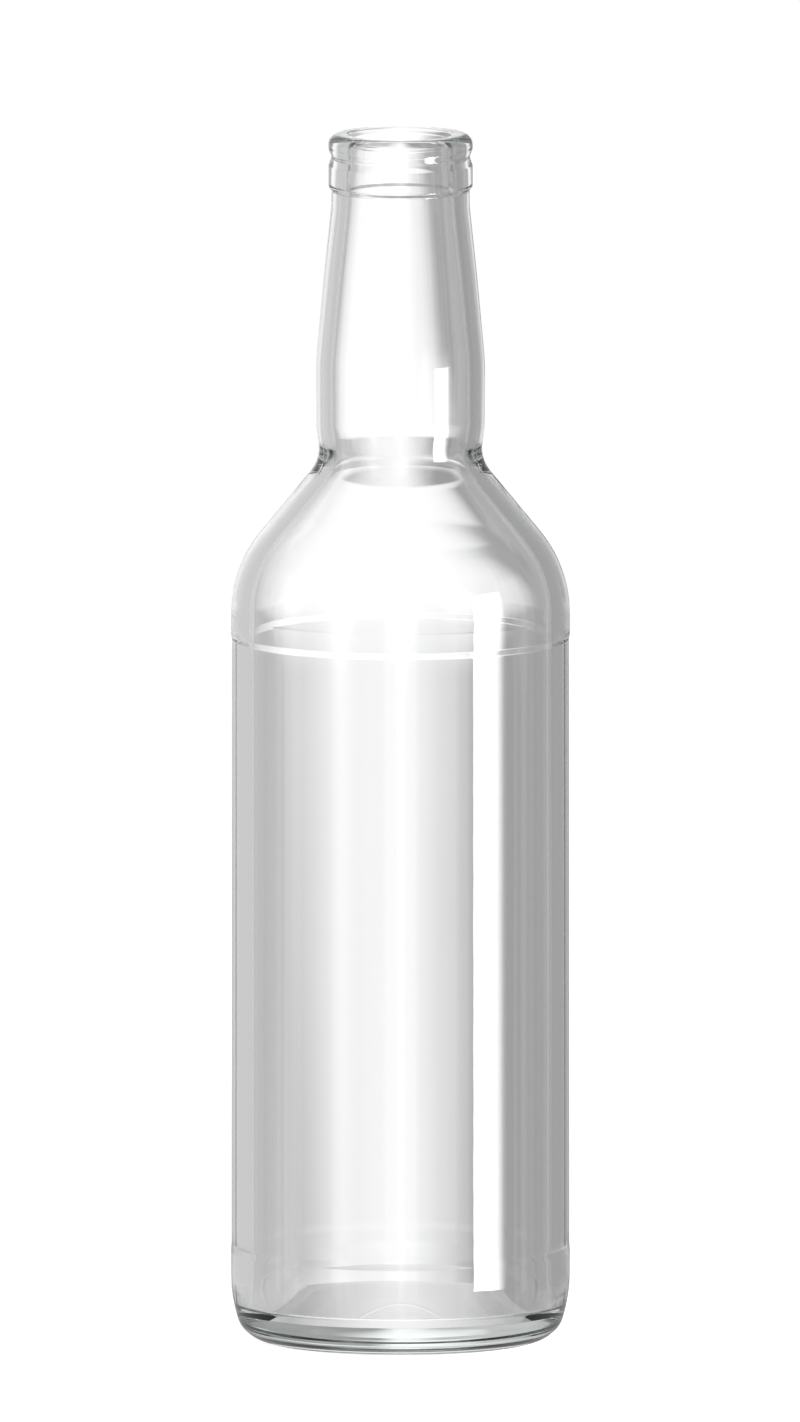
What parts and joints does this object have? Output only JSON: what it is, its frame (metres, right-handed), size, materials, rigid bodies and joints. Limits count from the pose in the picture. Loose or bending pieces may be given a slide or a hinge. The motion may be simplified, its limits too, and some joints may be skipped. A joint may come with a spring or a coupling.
{
  "type": "rum bottle",
  "caption": "Clear glass spirits bottle, open and empty, with a ringed lip, a tapered neck, a sloping shoulder and a long straight body.",
  "frame": {"origin": "centre of the bearing ring, on the plane that the bottle stands on", "axes": "+Z along the bottle's axis, from the base to the mouth; +X and +Y level"},
  "size_m": [0.0772, 0.0772, 0.2765],
  "materials": {
    "glass": "clear polished flint glass"
  },
  "bodies": {
    "root": {"bottle": "glass"}
  },
  "joints": []
}
